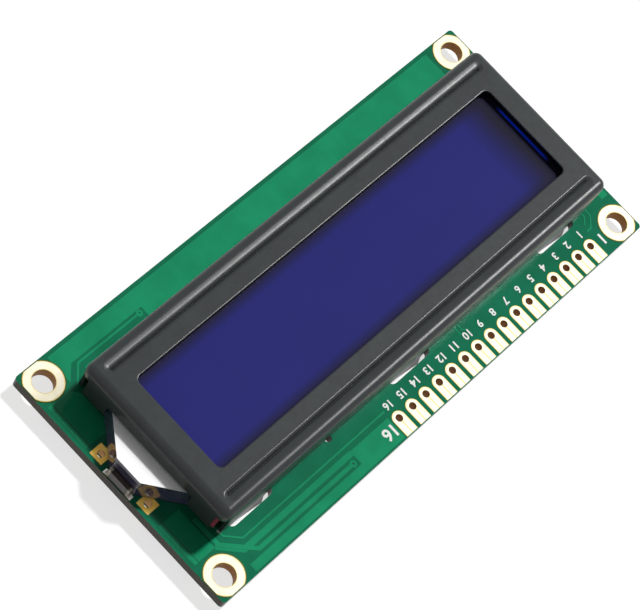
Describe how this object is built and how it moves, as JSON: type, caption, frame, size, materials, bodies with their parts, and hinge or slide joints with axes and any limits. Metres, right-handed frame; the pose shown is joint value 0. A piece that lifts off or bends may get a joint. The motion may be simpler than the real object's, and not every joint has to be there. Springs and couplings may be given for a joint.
{
  "type": "character lcd module",
  "caption": "Character LCD module: a circuit board with mounting holes and a row of header pads, carrying a wide display window in a folded black steel bezel with an edge-lit backlight.",
  "frame": {"origin": "centre of the four mounting holes, on the back face of the circuit board", "axes": "+X along the board towards the LED end, +Y across it towards the row of header pads, +Z out of the display"},
  "size_m": [0.08, 0.036, 0.0099],
  "materials": {
    "solder_mask": "gloss",
    "plating": "polished",
    "black_steel": "satin",
    "clear_glass": "polished",
    "polarizing_film": "gloss",
    "liquid_crystal": "gloss",
    "sealing_resin": "satin",
    "carbon_rubber": "matt",
    "pink_silicone": "matt",
    "diffuser_film": "matt",
    "clear_acrylic": "polished",
    "white_film": "satin",
    "silver_tape": "mirror",
    "led_package": "gloss",
    "tinned_metal": "satin",
    "black_resin": "gloss",
    "silicon": "polished",
    "black_ceramic": "satin",
    "tan_ceramic": "satin"
  },
  "bodies": {
    "root": {"printed_circuit_board": "solder_mask", "mounting_rings": "plating", "header_pads": "plating", "lamp_pads": "plating", "led_pads": "plating", "contact_fingers": "plating", "bezel": "black_steel", "front_polarizer": "polarizing_film", "front_glass": "clear_glass", "liquid_crystal": "liquid_crystal", "cell_seal": "sealing_resin", "fill_plug": "sealing_resin", "rear_glass": "clear_glass", "rear_polarizer": "polarizing_film", "strip_cores": "carbon_rubber", "strip_sponges": "pink_silicone", "diffuser": "diffuser_film", "light_guide": "clear_acrylic", "guide_reflector": "white_film", "nose_tape": "silver_tape", "led_body": "led_package", "led_terminals": "tinned_metal", "led_solder": "tinned_metal", "controller_cap": "black_resin", "controller_chip": "silicon", "driver_cap": "black_resin", "driver_chip": "silicon", "resistor_bodies": "black_ceramic", "resistor_ends": "tinned_metal", "capacitor_bodies": "tan_ceramic", "capacitor_ends": "tinned_metal"}
  },
  "joints": []
}
